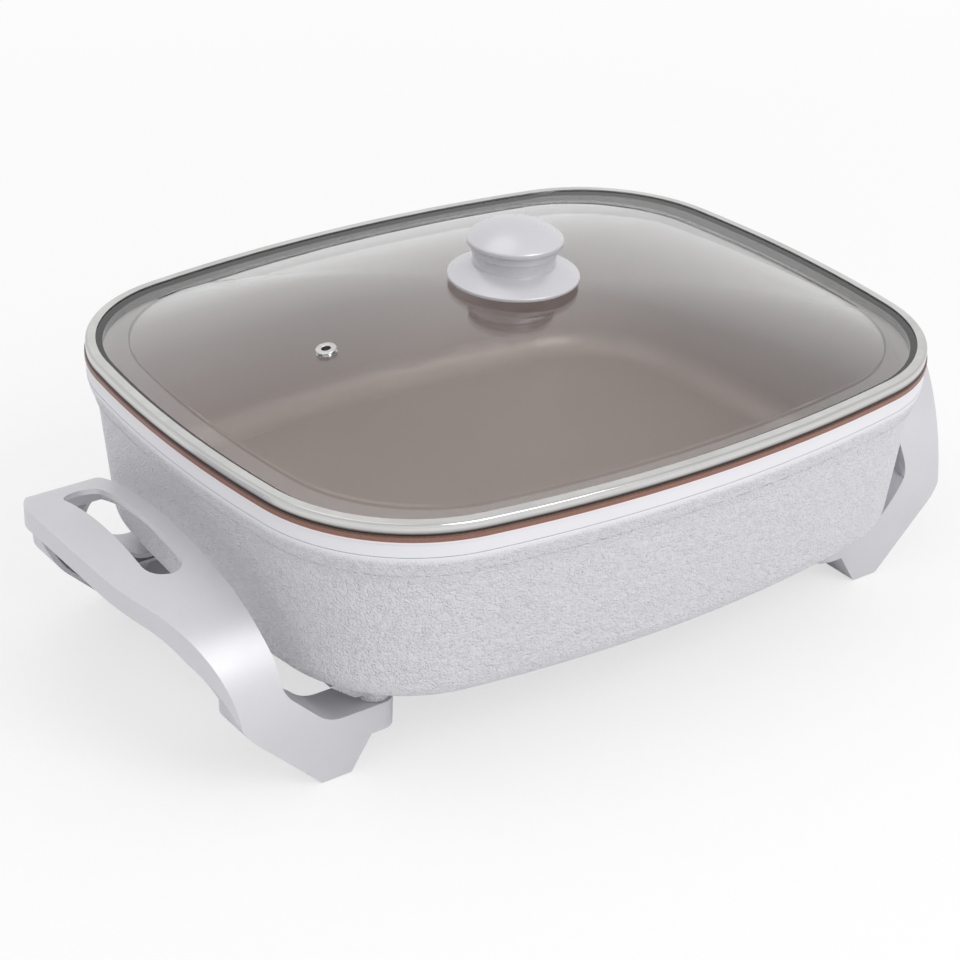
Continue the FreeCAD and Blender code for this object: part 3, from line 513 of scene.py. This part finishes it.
def makeSteel(name, s, stretch, gloss, depth=0.000012, shade=None):
    # shade, if given, tints the metal by its height above the table: painted reflection bands up the
    # polished band
    f = Finish(name)
    lines = f.use("brush", Stretch=stretch)
    metal = addMix(f.tree, lines.outputs["Tone"], s["bright"], s["dim"])
    if shade is not None:
        ramp = f.tree.nodes.new("ShaderNodeValToRGB")
        stops = ramp.color_ramp.elements
        while len(stops) < len(shade["stops"]):
            stops.new(0.5)
        for stop, (place, tone) in zip(stops, shade["stops"]):
            stop.position = place
            stop.color = (tone, tone, tone, 1)
        upBand = addRange(f.tree, f.height(), shade["low"], shade["high"], 0.0, 1.0)
        f.tree.links.new(upBand, ramp.inputs[0])
        metal = addTint(f.tree, metal, ramp.outputs[0])
    f.feed("Base Color", metal)
    f.feed("Roughness", addRange(f.tree, lines.outputs["Tone"], 0.0, 1.0, gloss[0], gloss[1]))
    f.plain(Metallic=1.0)
    f.bump(lines.outputs["Height"], depth)
    return f.material


glassSet = {
    "tint": (0.93, 0.945, 0.945),
    "shadowTint": (0.93, 0.94, 0.94),
    "ior": 1.5,
}


def makeClearGlass(s):
    f = Finish("clearGlass")
    f.plain(Base_Color=(*s["tint"], 1), Transmission_Weight=1.0, IOR=s["ior"], Metallic=0.0)
    f.feed("Roughness", f.use("drift", Scale=60.0, Low=0.0, High=0.012).outputs[0])
    path = f.tree.nodes.new("ShaderNodeLightPath")
    clear = f.tree.nodes.new("ShaderNodeBsdfTransparent")
    clear.inputs[0].default_value = (*s["shadowTint"], 1)
    mix = f.tree.nodes.new("ShaderNodeMixShader")
    shadowRay = path.outputs["Is Shadow Ray"]
    shadowOrSoft = addMath(f.tree, "MAXIMUM", shadowRay, path.outputs["Is Diffuse Ray"])
    f.tree.links.new(shadowOrSoft, mix.inputs[0])
    f.tree.links.new(f.shader.outputs[0], mix.inputs[1])
    f.tree.links.new(clear.outputs[0], mix.inputs[2])
    f.tree.links.new(mix.outputs[0], f.tree.nodes["Material Output"].inputs[0])
    return f.material


slowerSet = {
    "tone": 40.0,               # how many times slower than the grain
    "gloss": 15.0,              # the tone and the gloss of a small dull part drift
}


def makeGrainy(name, pale, deep, scale, depth, gloss, metallic=0.0, slower=slowerSet):
    # powders, ceramics, rubber and small dull parts
    f = Finish(name)
    grain = f.use("grain", Scale=scale)
    drift = f.use("drift", Scale=scale / slower["tone"], Low=0.0, High=1.0)
    both = addMath(f.tree, "ADD", grain.outputs["Tone"], drift.outputs[0])
    shade = addMath(f.tree, "MULTIPLY", both, 0.5)      # the mean of the two
    f.feed("Base Color", addMix(f.tree, shade, pale, deep))
    glossDrift = f.use("drift", Scale=scale / slower["gloss"], Low=gloss[0], High=gloss[1])
    f.feed("Roughness", glossDrift.outputs[0])
    f.plain(Metallic=metallic)
    f.bump(grain.outputs["Height"], depth)
    return f.material


tubeSet = {"bright": (0.45, 0.45, 0.46), "dim": (0.33, 0.33, 0.34)}
wireSet = {"bright": (0.36, 0.34, 0.32), "dim": (0.24, 0.22, 0.21)}
platedSet = {"bright": (0.68, 0.68, 0.69), "dim": (0.52, 0.52, 0.53)}
brassSet = {"bright": (0.72, 0.56, 0.28), "dim": (0.55, 0.41, 0.19)}

materials = {
    "cast_aluminium": makeCastSilver(castSet),
    "copper_coating": makeCopperCoat(copperSet),
    "dull_steel": makeSteel("drawnTube", tubeSet, stretch=(60.0, 900.0, 900.0), gloss=(0.35, 0.5)),
    "magnesia": makeGrainy("packedPowder", pale=(0.86, 0.85, 0.81), deep=(0.74, 0.73, 0.69),
                           scale=2200.0, depth=0.00004, gloss=(0.85, 0.95)),
    "heating_alloy": makeSteel("heatingWire", wireSet, stretch=(60.0, 1200.0, 1200.0),
                               gloss=(0.4, 0.6)),
    "plated_steel": makeSteel("platedSteel", platedSet, stretch=(500.0, 500.0, 1500.0),
                              gloss=(0.2, 0.32)),
    "white_ceramic": makeGrainy("whiteCeramic", pale=(0.88, 0.87, 0.84), deep=(0.80, 0.79, 0.76),
                                scale=1800.0, depth=0.00002, gloss=(0.5, 0.65)),
    "guard_metal": makeGrainy("guardSheet", pale=(0.62, 0.62, 0.64), deep=(0.52, 0.52, 0.54),
                              scale=1600.0, depth=0.00002, gloss=(0.34, 0.44), metallic=0.7),
    "silver_plastic": makeSatinSilver("bracketSilver", plasticSet),
    "clear_glass": makeClearGlass(glassSet),
    "polished_steel": makeSteel("polishedSteel", steelSet, stretch=(25.0, 25.0, 2600.0),
                                gloss=(0.10, 0.20), shade=bandPaintedReflection),
    "silicone": makeGrainy("siliconeSeal", pale=(0.74, 0.74, 0.74), deep=(0.64, 0.64, 0.64),
                           scale=900.0, depth=0.00002, gloss=(0.5, 0.65)),
    "knob_plastic": makeSatinSilver("knobSilver", plasticSet, gloss=(0.26, 0.34)),
    "brass_insert": makeSteel("turnedBrass", brassSet, stretch=(400.0, 400.0, 2500.0),
                              gloss=(0.25, 0.35)),
}
print("finishes made:", len(materials))


def dressNodes():
    # every carried-over node takes the finish of its own slot
    slots = {part["node"]: part["material_slot"] for part in frame["record"]["subparts"]}
    for name, obj in nodes.items():
        obj.data.materials.clear()
        obj.data.materials.append(materials[slots[name]])


edgeSet = {
    "nodes": ("right_handle_bracket", "left_handle_bracket"),
    "radius": 0.0018,
    "sharpest": 50.0,           # edges that turn by more degrees than this are rounded
    "segments": 3,
}


def roundEdges(s):
    for name in s["nodes"]:
        bevel = nodes[name].modifiers.new("mouldedEdge", "BEVEL")
        bevel.width = s["radius"]
        bevel.segments = s["segments"]
        bevel.limit_method = "ANGLE"
        bevel.angle_limit = math.radians(s["sharpest"])
        bevel.harden_normals = True


dressNodes()
roundEdges(edgeSet)
print("nodes dressed")
addCamera(cameraSet)
addWorld(studioSet)
addLamps(lampSet)
addFloor(studioSet)
print("studio set")
